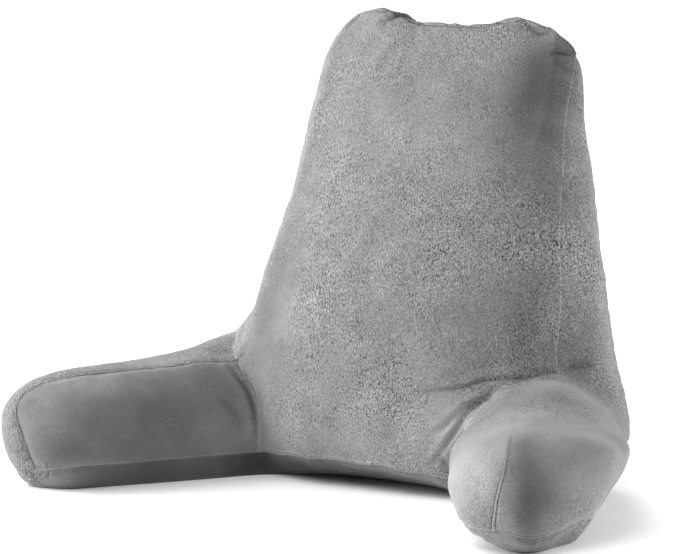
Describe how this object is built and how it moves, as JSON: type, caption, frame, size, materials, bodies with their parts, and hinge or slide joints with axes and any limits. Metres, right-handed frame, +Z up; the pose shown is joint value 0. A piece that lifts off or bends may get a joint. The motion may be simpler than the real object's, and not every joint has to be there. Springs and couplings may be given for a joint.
{
  "type": "reading pillow with arms",
  "caption": "Stuffed backrest pillow with a splayed padded arm on each side, for sitting up to read on a bed or sofa.",
  "frame": {"origin": "on the floor, in the middle of the flat rest face under the backrest, on the centre line between the arms", "axes": "+X to the right as seen from the front, so arm_right is at +X, -Y is where the sitter faces, +Z up"},
  "size_m": [0.6366, 0.3784, 0.438],
  "materials": {
    "plush": "short grey plush pile with a soft nap"
  },
  "bodies": {
    "root": {"backrest": "plush", "arm_left": "plush", "arm_right": "plush"}
  },
  "joints": []
}
